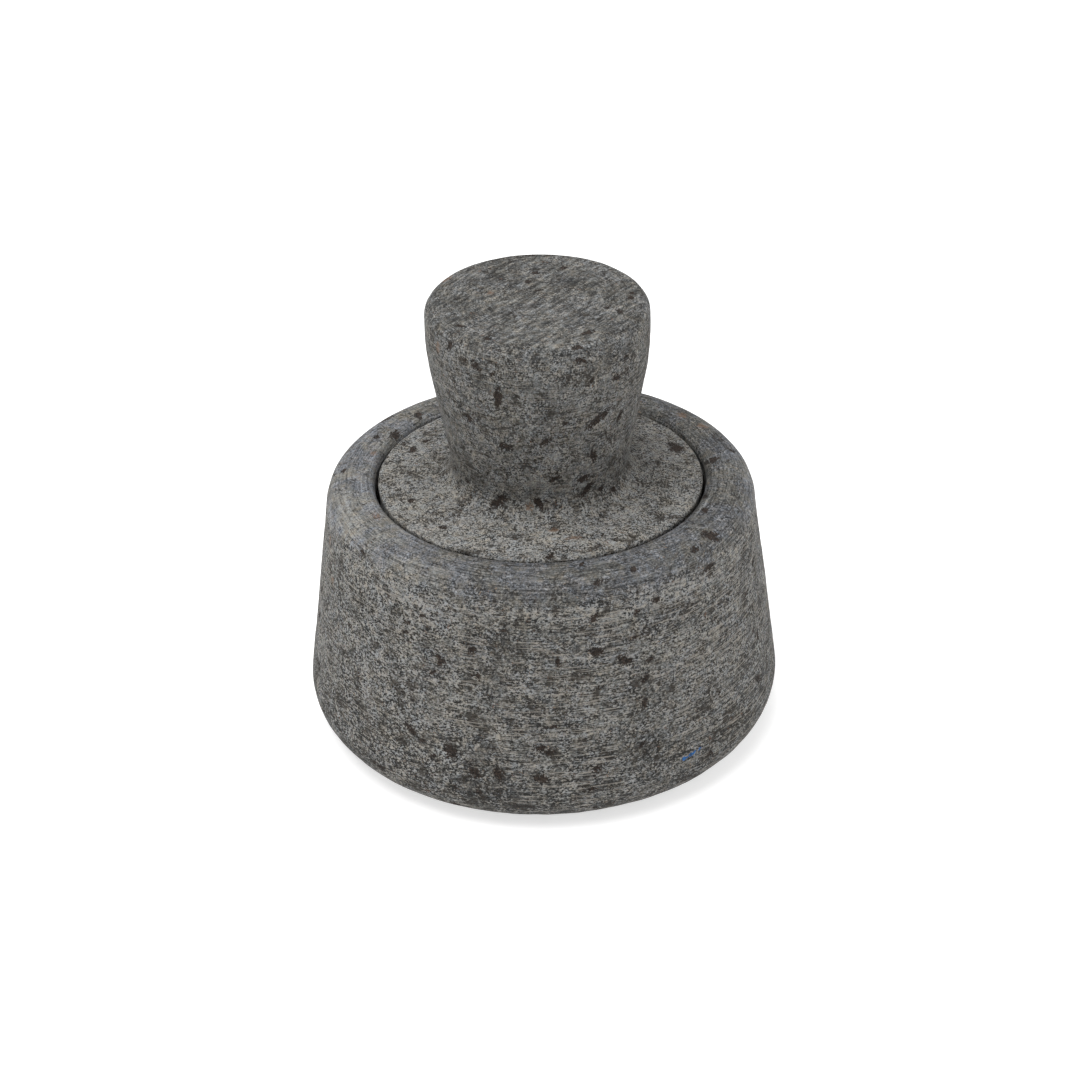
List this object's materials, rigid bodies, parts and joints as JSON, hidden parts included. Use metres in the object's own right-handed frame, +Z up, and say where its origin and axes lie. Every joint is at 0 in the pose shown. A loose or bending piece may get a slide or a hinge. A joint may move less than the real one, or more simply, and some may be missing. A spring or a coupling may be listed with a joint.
{
  "type": "stone mortar and pestle",
  "caption": "Turned volcanic-stone mortar with a dished bowl; its flared-grip pestle has a wide disc that closes the mouth and a domed grinding face.",
  "frame": {"origin": "centre of the mortar's flat foot, on the surface it stands on", "axes": "+Z up along the turning axis of both pieces; +X and +Y are equivalent, because both pieces are turned"},
  "size_m": [0.1498, 0.1498, 0.1468],
  "materials": {
    "mortar_stone": "turned, matt, with fine tool lines",
    "pestle_stone": "turned and smoothed, matt"
  },
  "bodies": {
    "mortar": {"mortar": "mortar_stone"},
    "pestle": {"pestle": "pestle_stone"}
  },
  "joints": [
    {"name": "pestle_lift", "type": "slide", "parent": "mortar", "child": "pestle", "axis": [0, 0, 1], "range_m": [0, 0.07]}
  ]
}
